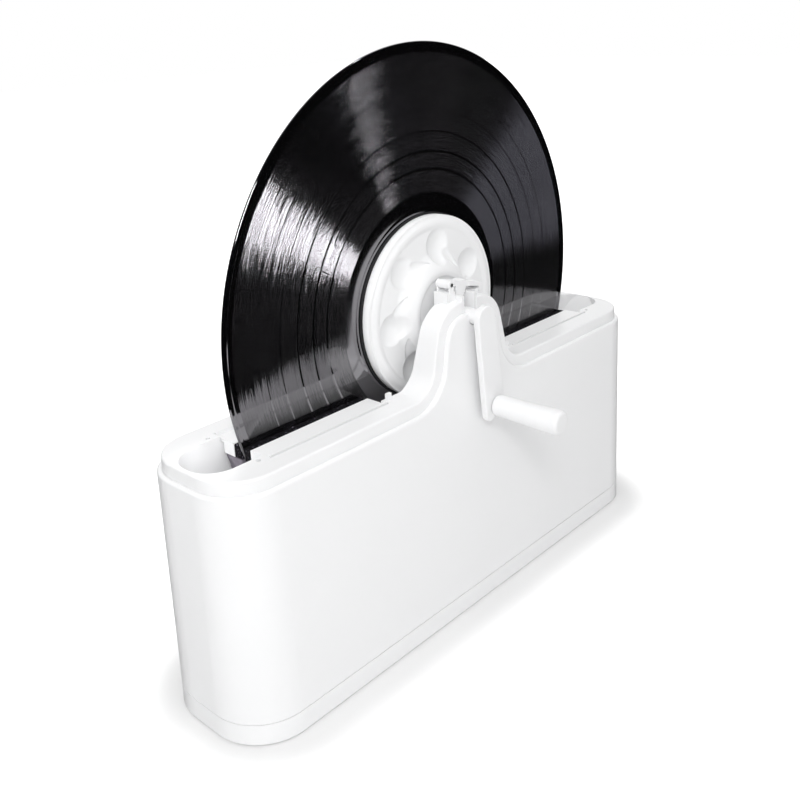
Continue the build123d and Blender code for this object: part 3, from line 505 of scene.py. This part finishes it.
def bristle_pile(name, colour):
    """Dense nylon pile: black in its upright neck, with a few pale flecks, and grey-purple below.
    """
    n = Finish(name)
    drawn = n.stretched(n.place, (1600.0, 1600.0, 260.0))
    tufts = n.noise(drawn, scale=1.0, detail=3.0, roughness=0.7)
    flecks = n.rise(n.noise(n.place, scale=900.0), 0.62, 0.72, interpolation="LINEAR")
    # Below the neck the pile is grey-purple, in two tones mixed by the tufts.
    slope = n.blend(tufts, LOWER_PILE_DARK, LOWER_PILE_PALE)
    neck = n.blend(flecks, colour, shade(colour, 40.0))
    in_neck = n.rise(n.parts(n.place)["Z"], NECK_LOW * MM, NECK_HIGH * MM)
    return n.finish(
        {"IOR": 1.5, "Specular IOR Level": 0.08},
        Base_Color=n.blend(in_neck, slope, neck),
        Roughness=n.spread(tufts, 0.6, 0.85),
        Normal=n.bump(tufts, distance=0.0004, strength=0.8),
    )


# ---- surfaces ---------------------------------------------------------------------------------
def surface(name, points, across, around, material, closed_rows=True):
    """Mesh of the quads between neighbouring points of a (rows, columns, 3) grid, in millimetres.

    The last column joins the first, and so does the last row when the rows are closed. The UV of
    a corner is (across, around) of its row and column, and what closes has one value more.
    """
    rows, columns = points.shape[:2]
    row = np.arange(rows if closed_rows else rows - 1)
    i, j = (index.ravel() for index in np.meshgrid(row, np.arange(columns), indexing="ij"))
    i_next, j_next = (i + 1) % rows, (j + 1) % columns
    corners = np.stack(
        [i * columns + j, i_next * columns + j, i_next * columns + j_next, i * columns + j_next],
        axis=-1,
    )
    uv = np.stack(
        [
            np.stack([across[i], across[i + 1], across[i + 1], across[i]], axis=-1),
            np.stack([around[j], around[j], around[j + 1], around[j + 1]], axis=-1),
        ],
        axis=-1,
    )
    mesh = bpy.data.meshes.new(name)
    mesh.vertices.add(rows * columns)
    mesh.vertices.foreach_set("co", (points * MM).astype(np.float32).ravel())
    mesh.loops.add(corners.size)
    mesh.loops.foreach_set("vertex_index", corners.ravel().astype(np.int32))
    mesh.polygons.add(len(corners))
    mesh.polygons.foreach_set("loop_start", np.arange(0, corners.size, 4, dtype=np.int32))
    mesh.polygons.foreach_set("use_smooth", np.ones(len(corners), bool))
    mesh.update(calc_edges=True)
    layer = mesh.uv_layers.new(name="disc")
    layer.data.foreach_set("uv", uv.astype(np.float32).ravel())
    mesh.materials.append(material)
    mesh.validate()
    piece = bpy.data.objects.new(name, mesh)
    bpy.context.scene.collection.objects.link(piece)
    return piece


def smoothstep(value):
    """0 below 0, 1 above 1, and 3v^2 - 2v^3 between."""
    v = np.clip(value, 0.0, 1.0)
    return v * v * (3.0 - 2.0 * v)


def soft_min(a, b, blend):
    """The lower of two heights, rounded over where they meet within this blend."""
    h = np.clip(0.5 + 0.5 * (b - a) / blend, 0.0, 1.0)
    return b * (1.0 - h) + a * h - blend * h * (1.0 - h)


def soft_max(a, b, blend):
    """The higher of two heights, rounded off where they meet within this blend."""
    return -soft_min(-a, -b, blend)


def turned(radius, height, turns):
    """Grid of a profile turned about the axle line.

    Row i and column j lie at (r_i cos t_j, y_i, axle + r_i sin t_j), with t from 0 to 2 pi. The
    height may vary with the angle too, as a (rows, columns) array.
    """
    radius = np.repeat(radius[:, None], turns, axis=1)
    height = np.broadcast_to(height.reshape(len(height), -1), radius.shape)
    angle = np.arange(turns) * (2.0 * math.pi / turns)
    x = radius * np.cos(angle)
    z = radius * np.sin(angle) + AXLE_Z / MM
    return np.stack([x, height, z], axis=-1)


def half_thickness(r, bead):
    """Half the record's thickness at radius r: full at label and bead, thinner where it is cut.

    The three zones meet in smoothsteps, and the outer edge is a quarter ellipse.
    """
    outer = RECORD_RADIUS / MM
    label = 1.0 - smoothstep((r - LABEL_ZONE_R) / LABEL_SLOPE)
    rim = smoothstep((r - (outer - bead)) / BEAD_SLOPE)
    body = CUT_HALF + (FULL_HALF - CUT_HALF) * np.maximum(label, rim)
    edge = np.clip((r - (outer - EDGE_ROUND)) / EDGE_ROUND, 0.0, 1.0)
    return body * np.sqrt(np.maximum(1.0 - edge**2, 0.0004))


def vinyl_record(settings, material):
    """Record: its half-thickness profile turned about the axle, both faces as one closed loop.

    Rows stand closer where the thickness changes, and follow a sine round the edge.
    """
    outer = RECORD_RADIUS / MM
    bead = settings.rim_bead / MM
    edge = outer - EDGE_ROUND
    zones = (
        (HOLE_R, 12), (LABEL_ZONE_R - 0.6, 10), (LABEL_ZONE_R + 2.6, 60), (outer - bead - 0.4, 12)
    )
    ends = [start for start, _ in zones[1:]] + [edge]
    rows = [
        np.linspace(start, end, count, endpoint=False) for (start, count), end in zip(zones, ends)
    ]
    r = np.concatenate(rows + [edge + EDGE_ROUND * np.sin(np.linspace(0.0, math.pi / 2, 9))])
    t = half_thickness(r, bead)
    radius = np.concatenate([r, r[::-1]])
    height = np.concatenate([-t, t[::-1]])
    turns = 360
    across = np.append(radius, radius[0]) / outer
    around = np.linspace(0.0, 1.0, turns + 1)
    return surface("vinyl_record", turned(radius, height, turns), across, around, material)


def clamp_face(settings, r, angle):
    """Height of a clamp disc's outer face above the record's plane, at radius r and an angle.

    A flat web rises to a coned hub in a smoothstep and to a rim that is a circular arc. A finger
    hollow is a sphere cut from it. A tail trails from each hollow: its middle line winds in
    towards the hub while its parabolic section narrows to nothing.
    """
    depth = settings.dimple_depth / MM
    hub = WEB_Y + HUB_RISE * smoothstep((HUB_FOOT_R - r) / HUB_SLOPE)
    recess = RECESS_DEPTH * smoothstep((RECESS_R - r) / RECESS_SLOPE)
    rim_arc = RIM_MID_Y + np.sqrt(np.maximum(RIM_ROUND**2 - (r - RIM_MID_R) ** 2, 0.0))
    rim = np.where(r > RIM_START_R, rim_arc, 0.0)
    height = soft_max(hub - recess, rim, RIM_BLEND)
    middles = FIRST_HOLLOW + np.arange(settings.dimples) * (2.0 * math.pi / settings.dimples)
    for middle in middles:
        behind = np.mod(middle - angle + math.pi, 2.0 * math.pi) - math.pi
        along = np.clip(behind / TAIL_SWEEP, 0.0, 1.0)
        line = HOLLOW_RING_R - TAIL_WIND_IN * along**TAIL_WIND_POWER
        width = TAIL_WIDTH * np.power(np.maximum(1.0 - along, 1e-4), TAIL_TAPER)
        section = np.clip(1.0 - ((r - line) / width) ** 2, 0.0, 1.0)
        fade = smoothstep(behind / TAIL_START) * smoothstep((1.0 - along) / TAIL_END)
        height = height - settings.tail_depth / MM * section * fade
    ball = (HOLLOW_R**2 + depth**2) / (2.0 * depth)
    for middle in middles:
        product = 2.0 * r * HOLLOW_RING_R * np.cos(angle - middle)
        offset = np.sqrt(np.maximum(r**2 + HOLLOW_RING_R**2 - product, 0.0))
        inside = WEB_Y + ball - depth - np.sqrt(np.maximum(ball**2 - offset**2, 0.0))
        hollow = np.where(offset < ball * 0.98, inside, NO_HOLLOW)
        height = soft_min(height, hollow, HOLLOW_BLEND)
    return height


def clamp_disc(settings, material, side, name):
    """Clamp disc: the face above turned about the axle, closed by the rim's arc and a flat back."""
    turns = 448
    angle = np.arange(turns) * (2.0 * math.pi / turns)
    rim_angle = np.radians(np.linspace(128.0, 2.0, 26))
    rim_r = RIM_MID_R + RIM_ROUND * np.cos(rim_angle)
    face_r = np.concatenate([[BORE_R, BORE_R + 0.34], np.linspace(5.6, 47.4, 96), rim_r])
    face = clamp_face(settings, face_r[:, None], angle[None, :])
    face[-1] = RIM_MID_Y + RIM_ROUND * math.sin(rim_angle[-1])
    back_r, back_y = np.array(CLAMP_BACK).T
    radius = np.concatenate([face_r, back_r])
    height = np.concatenate([face, np.repeat(back_y[:, None], turns, axis=1)])
    points = turned(radius, side * height, turns)
    if side > 0:
        points = points[::-1]
        radius = radius[::-1]
    across = np.append(radius, radius[0]) / CLAMP_UV_R
    around = np.linspace(0.0, 1.0, turns + 1)
    return surface(name, points, across, around, material)


def bristle_pad(name, side, material, seed):
    """Bristle pad: a wedge section carried along X, its skin roughened by tufts.

    The section is a closed polygon, resampled evenly. Every point is pushed in towards its
    middle by smoothed noise of up to TUFT_DEPTH, so no tuft leaves the wedge. Both ends shrink a
    little and close on a point.
    """
    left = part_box(name)[0].x / MM
    ring = np.array(PAD_SECTION + PAD_SECTION[:1])
    run = np.concatenate([[0.0], np.cumsum(np.hypot(*np.diff(ring, axis=0).T))])
    count = 150
    at = np.linspace(0.0, run[-1], count, endpoint=False)
    y, z = (np.interp(at, run, ring[:, k]) for k in (0, 1))
    middle_y, middle_z = y.mean(), z.mean()
    lip = 0.25
    inner = np.linspace(PAD_END, PAD_LENGTH - PAD_END, 170)
    stations = np.concatenate([[0.0, lip], inner, [PAD_LENGTH - lip, PAD_LENGTH]])
    noise = np.random.default_rng(seed).random((len(stations), count))
    for _ in range(2):
        shifted = np.roll(noise, 1, 1) + np.roll(noise, 1, 0) + np.roll(noise, -1, 1)
        noise = (noise + shifted) / 4.0
    push = TUFT_DEPTH * np.clip((noise - noise.min()) / np.ptp(noise), 0.0, 1.0)
    ends = np.minimum(stations, stations[::-1])
    shrink = 1.0 - PAD_END_SHRINK * (1.0 - smoothstep(ends / PAD_END))
    out_y, out_z = y - middle_y, z - middle_z
    factor = shrink[:, None] * (1.0 - push / np.hypot(out_y, out_z)[None, :])
    grid_x = np.repeat((left + stations)[:, None], count, axis=1)
    grid_y = side * (middle_y + out_y[None, :] * factor)
    grid_z = middle_z + out_z[None, :] * factor
    points = np.stack([grid_x, grid_y, grid_z], axis=-1)
    cap = np.repeat(points.mean(axis=1, keepdims=True), count, axis=1)
    points = np.concatenate([cap[:1], points, cap[-1:]])
    if side < 0:
        points = points[::-1]
    across = np.linspace(0.0, 1.0, len(points))
    around = np.linspace(0.0, 1.0, count + 1)
    return surface(name + "_pile", points, across, around, material, closed_rows=False)


# ---- operators --------------------------------------------------------------------------------
def dress(names, material):
    """Puts a material on CAD nodes that keep their shape."""
    for name in names:
        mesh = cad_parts[name].data
        mesh.materials.clear()
        mesh.materials.append(material)


class WASHER_OT_plastic(Operator):
    """Gives the shell, tub, base, crank, keepers, saddles, axles and brush holders their plastic"""

    bl_idname = "washer.plastic"
    bl_label = "Moulded Plastic"

    def execute(self, context):
        look = context.scene.washer_plastic
        colour = tuple(look.colour)
        shell = moulded_plastic("shell_plastic", colour, look.roughness)
        working = moulded_plastic("working_plastic", shade(colour, 0.99), look.roughness + 0.06)
        dress(["outer_shell", "tub", "base_plate"], shell)
        names = [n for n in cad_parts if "saddle" in n or n.endswith(("_keeper", "_holder"))]
        dress(names + ["front_axle", "rear_axle", "crank_arm", "crank_grip"], working)
        return {"FINISHED"}


class WASHER_OT_fittings(Operator):
    """Gives seals and feet their rubber, pins and screws their steel and labels their paper"""

    bl_idname = "washer.fittings"
    bl_label = "Rubber, Steel and Paper"

    def execute(self, context):
        dress(["front_seal", "rear_seal", "feet"], soft_rubber("seal_rubber", RUBBER_BLACK))
        pins = [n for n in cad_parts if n.endswith(("_pin", "_screws"))]
        dress(pins, turned_steel("pin_steel", STEEL_GREY))
        dress(["record_labels"], printed_paper("label_paper", LABEL_CREAM))
        return {"FINISHED"}


class WASHER_OT_record(Operator):
    """Presses the record with its cut, track gaps and rim bead"""

    bl_idname = "washer.record"
    bl_label = "Vinyl Record"

    def execute(self, context):
        settings = context.scene.washer_record
        material = pressed_vinyl("pressed_vinyl", settings)
        record = vinyl_record(settings, material)
        # Fill light passes the thin disc, so the white deck beside it stays evenly lit.
        record.visible_diffuse = False
        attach(record, "rotor")
        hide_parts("record")
        dress(["record"], material)
        return {"FINISHED"}


class WASHER_OT_clamps(Operator):
    """Shapes both clamp discs with their finger hollows, swirl tails and coned hubs"""

    bl_idname = "washer.clamps"
    bl_label = "Clamp Discs"

    def execute(self, context):
        look = context.scene.washer_plastic
        material = moulded_plastic("clamp_plastic", tuple(look.colour), look.roughness + 0.04)
        for place, side, body in (("front", -1, "rotor"), ("rear", 1, "rear_clamp")):
            node = f"{place}_clamp_disc"
            disc = clamp_disc(context.scene.washer_clamp, material, side, f"{place}_swirl_disc")
            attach(disc, body)
            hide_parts(node)
            dress([node], material)
        return {"FINISHED"}


class WASHER_OT_bristles(Operator):
    """Fills the four brush holders with their dark bristle pads"""

    bl_idname = "washer.bristles"
    bl_label = "Bristle Pads"

    def execute(self, context):
        material = bristle_pile("bristle_pile", BRISTLE_BLACK)
        corners = (("front_left", -1), ("front_right", -1), ("rear_left", 1), ("rear_right", 1))
        for seed, (corner, side) in enumerate(corners, start=11):
            node = f"{corner}_bristles"
            pad = bristle_pad(node, side, material, seed)
            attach(pad, f"{corner}_brush")
            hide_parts(node)
            dress([node], material)
        return {"FINISHED"}


def area_light(name, direction, distance, size, power, target, tint=(1.0, 1.0, 1.0)):
    """Soft rectangular lamp at a distance along a direction, turned to face its target."""
    lamp = bpy.data.lights.new(name, "AREA")
    lamp.shape = "RECTANGLE"
    lamp.size, lamp.size_y = size
    lamp.energy = power
    lamp.color = tint
    holder = bpy.data.objects.new(name, lamp)
    towards = Vector(direction).normalized()
    holder.location = Vector(target) + towards * distance
    holder.rotation_euler = towards.to_track_quat("Z", "Y").to_euler()
    bpy.context.scene.collection.objects.link(holder)
    return holder


class WASHER_OT_stage(Operator):
    """Lays the pale floor, hangs the soft lights and sets the camera"""

    bl_idname = "washer.stage"
    bl_label = "Stage and Lights"

    def execute(self, context):
        settings = context.scene.washer_stage
        self.floor()
        self.world(settings.fill)
        self.lamps(settings)
        self.camera()
        context.scene.view_settings.view_transform = "Standard"
        return {"FINISHED"}

    def lamps(self, settings):
        """Lamps that light the white plastic, and lamps that only show as reflections.

        Each is its name, direction, distance, size, power and target, and its tint if it has one.
        """
        middle = (0.0, 0.0, AXLE_Z)
        record_top = (-0.03, 0.0, AXLE_Z + 0.13)
        well_mouth = (-0.165, 0.0, 0.148)
        key, soft, glint = settings.key_power, settings.soft_power, settings.glint_power
        for lamp in (
            ("key", UPPER_LEFT, 0.95, (0.2, 0.24), key, middle),
            ("soft", LEFT_SHOULDER, 1.3, (1.2, 1.2), soft, middle),
            ("above", (0.0, -0.12, 1.0), 1.2, (0.5, 0.5), 1.4, middle),
            ("well", STRAIGHT_UP, 0.01, (0.02, 0.02), 0.0028, well_mouth),
        ):
            holder = area_light(*lamp)
            holder.visible_glossy = False
            holder.visible_camera = False
        cool = (0.86, 0.88, 1.0)
        for lamp in (
            ("glint", UPPER_LEFT, 1.4, (0.16, 0.5), glint, middle),
            ("right_panel", (0.96, -0.26, -0.02), 1.3, (0.3, 0.42), 0.4, middle, cool),
            ("sliver", (0.35, -0.374, 0.858), 0.26, (0.016, 0.016), 0.036, record_top),
        ):
            area_light(*lamp).visible_diffuse = False

    def floor(self):
        """Pale paper. To the camera it glows, least against the foot, so that its shade is small.

        The glow rises in a smoothstep of the distance from the foot, and again further out, so the
        soft shade round the foot is painted shade, drawn by distance and not cast by a lamp. Other
        rays meet paper that is paler and doesn't glow.
        """
        mesh = bpy.data.meshes.new("floor")
        signs = ((-1, -1), (1, -1), (1, 1), (-1, 1))
        corners = [(x * FLOOR_HALF, y * FLOOR_HALF, 0.0) for x, y in signs]
        mesh.from_pydata(corners, [], [(0, 1, 2, 3)])
        floor = bpy.data.objects.new("floor", mesh)
        bpy.context.scene.collection.objects.link(floor)
        n = Finish("floor_paper")
        seen = n.add("ShaderNodeLightPath").outputs["Is Camera Ray"]
        unseen = n.math("MULTIPLY", n.math("SUBTRACT", 1.0, seen), 1.0 - MOTTLE)
        mottle = n.math("MULTIPLY", n.noise(n.place, scale=3.0), MOTTLE)
        axes = n.parts(n.place)
        squares = []
        for axis, straight in FOOT_CORE:
            beyond = n.math("SUBTRACT", n.math("ABSOLUTE", axes[axis]), straight)
            squares.append(n.math("POWER", n.math("MAXIMUM", beyond, 0.0), 2.0))
        distance = n.math("SQRT", n.math("ADD", *squares))
        # Painted shade: the glow is held low near the foot, so the darker paper shows there to the
        # camera as a shade round it.
        painted_shade_glow = n.rise(distance, FOOT_ROUND, SHADE_END, FOOT_GLOW, NEAR_GLOW)
        far = n.rise(distance, FAR_START, FAR_END, 0.0, FAR_GLOW)
        n.finish(
            {"Specular IOR Level": 0.0, "Roughness": 1.0, "Emission Color": (1.0, 1.0, 1.0, 1.0)},
            Base_Color=n.blend(n.math("ADD", mottle, unseen), PAPER_DARK, PAPER_PALE),
            Emission_Strength=n.math("MULTIPLY", seen, n.math("ADD", painted_shade_glow, far)),
        )
        floor.data.materials.append(n.material)
        floor.visible_glossy = False

    def world(self, fill):
        """Light from all round, by the ray that meets it.

        The camera sees white. Reflections see only a pale patch, a smoothstep round its direction
        times one that stops it at the horizon and at the side. All else meets an even fill, a
        little stronger from above and from the left.
        """
        world = bpy.data.worlds.new("studio")
        bpy.context.scene.world = world
        world.use_nodes = True
        g = Graph(world.node_tree)
        rays = g.add("ShaderNodeLightPath").outputs
        camera, glossy = rays["Is Camera Ray"], rays["Is Glossy Ray"]
        toward = g.add("ShaderNodeTexCoord").outputs["Generated"]
        axes = g.parts(toward)
        upward = g.math("MULTIPLY", axes["Z"], FILL_UP)
        lean = g.math("SUBTRACT", upward, g.math("MULTIPLY", axes["X"], FILL_LEFT))
        even = g.math("MULTIPLY", g.math("ADD", lean, 1.0), fill)
        nearness = g.vector_math("DOT_PRODUCT", toward, PATCH_DIRECTION, output="Value")
        limit = g.rise(g.math("MINIMUM", axes["Y"], axes["Z"]), -0.05, 0.12)
        patch = g.math("MULTIPLY", limit, g.rise(nearness, 0.15, 0.6))
        reflected = g.math("MULTIPLY", glossy, g.math("ADD", patch, DARK_REFLECTION))
        other = g.math("SUBTRACT", g.math("SUBTRACT", 1.0, glossy), camera)
        filled = g.math("MULTIPLY", other, even)
        strength = g.math("ADD", g.math("ADD", reflected, camera), filled)
        background = g.add("ShaderNodeBackground", Color=(1.0, 1.0, 1.0, 1.0), Strength=strength)
        g.add("ShaderNodeOutputWorld", Surface=background.outputs["Background"])

    def camera(self):
        """Camera to the left of the front, looking down, with a slight roll about its view."""
        camera = bpy.data.cameras.new("camera")
        camera.sensor_width = CAMERA_SENSOR
        camera.lens = CAMERA_LENS
        camera.shift_x, camera.shift_y = CAMERA_SHIFT
        holder = bpy.data.objects.new("camera", camera)
        azimuth, elevation, roll = (
            math.radians(degrees) for degrees in (CAMERA_AZIMUTH, CAMERA_ELEVATION, CAMERA_ROLL)
        )
        level = math.cos(elevation)
        ahead = Vector((math.sin(azimuth) * level, math.cos(azimuth) * level, math.sin(elevation)))
        level_right = ahead.cross(Vector(STRAIGHT_UP)).normalized()
        level_up = level_right.cross(ahead)
        right = math.cos(roll) * level_right + math.sin(roll) * level_up
        up = -math.sin(roll) * level_right + math.cos(roll) * level_up
        turn = Matrix((right, up, -ahead)).transposed().to_4x4()
        holder.matrix_world = Matrix.Translation(CAMERA_PLACE) @ turn
        bpy.context.scene.collection.objects.link(holder)
        bpy.context.scene.camera = holder


class WASHER_PT_panel(Panel):
    """Lists the sizes, colours and pieces of the record washer"""

    bl_label = "Record Washer"
    bl_idname = "WASHER_PT_panel"
    bl_space_type = "VIEW_3D"
    bl_region_type = "UI"
    bl_category = "Record Washer"

    def draw(self, context):
        layout = self.layout
        for group, _ in SETTINGS:
            settings = getattr(context.scene, group)
            box = layout.box()
            for name in settings.__annotations__:
                box.prop(settings, name)
        for operator in OPERATORS:
            layout.operator(operator.bl_idname)


SETTINGS = (
    ("washer_plastic", PlasticSettings),
    ("washer_record", RecordSettings),
    ("washer_clamp", ClampSettings),
    ("washer_stage", StageSettings),
)
OPERATORS = (
    WASHER_OT_plastic,
    WASHER_OT_fittings,
    WASHER_OT_record,
    WASHER_OT_clamps,
    WASHER_OT_bristles,
    WASHER_OT_stage,
)


def register():
    """Registers the settings, the operators and the panel."""
    for name, group in SETTINGS:
        bpy.utils.register_class(group)
        setattr(bpy.types.Scene, name, PointerProperty(type=group))
    for operator in OPERATORS:
        bpy.utils.register_class(operator)
    bpy.utils.register_class(WASHER_PT_panel)


def unregister():
    """Takes them all off again, in the opposite order."""
    bpy.utils.unregister_class(WASHER_PT_panel)
    for operator in reversed(OPERATORS):
        bpy.utils.unregister_class(operator)
    for name, group in reversed(SETTINGS):
        delattr(bpy.types.Scene, name)
        bpy.utils.unregister_class(group)


def main():
    register()
    bpy.ops.washer.plastic()
    bpy.ops.washer.fittings()
    bpy.ops.washer.record()
    bpy.ops.washer.clamps()
    bpy.ops.washer.bristles()
    bpy.ops.washer.stage()


if __name__ == "__main__":
    main()
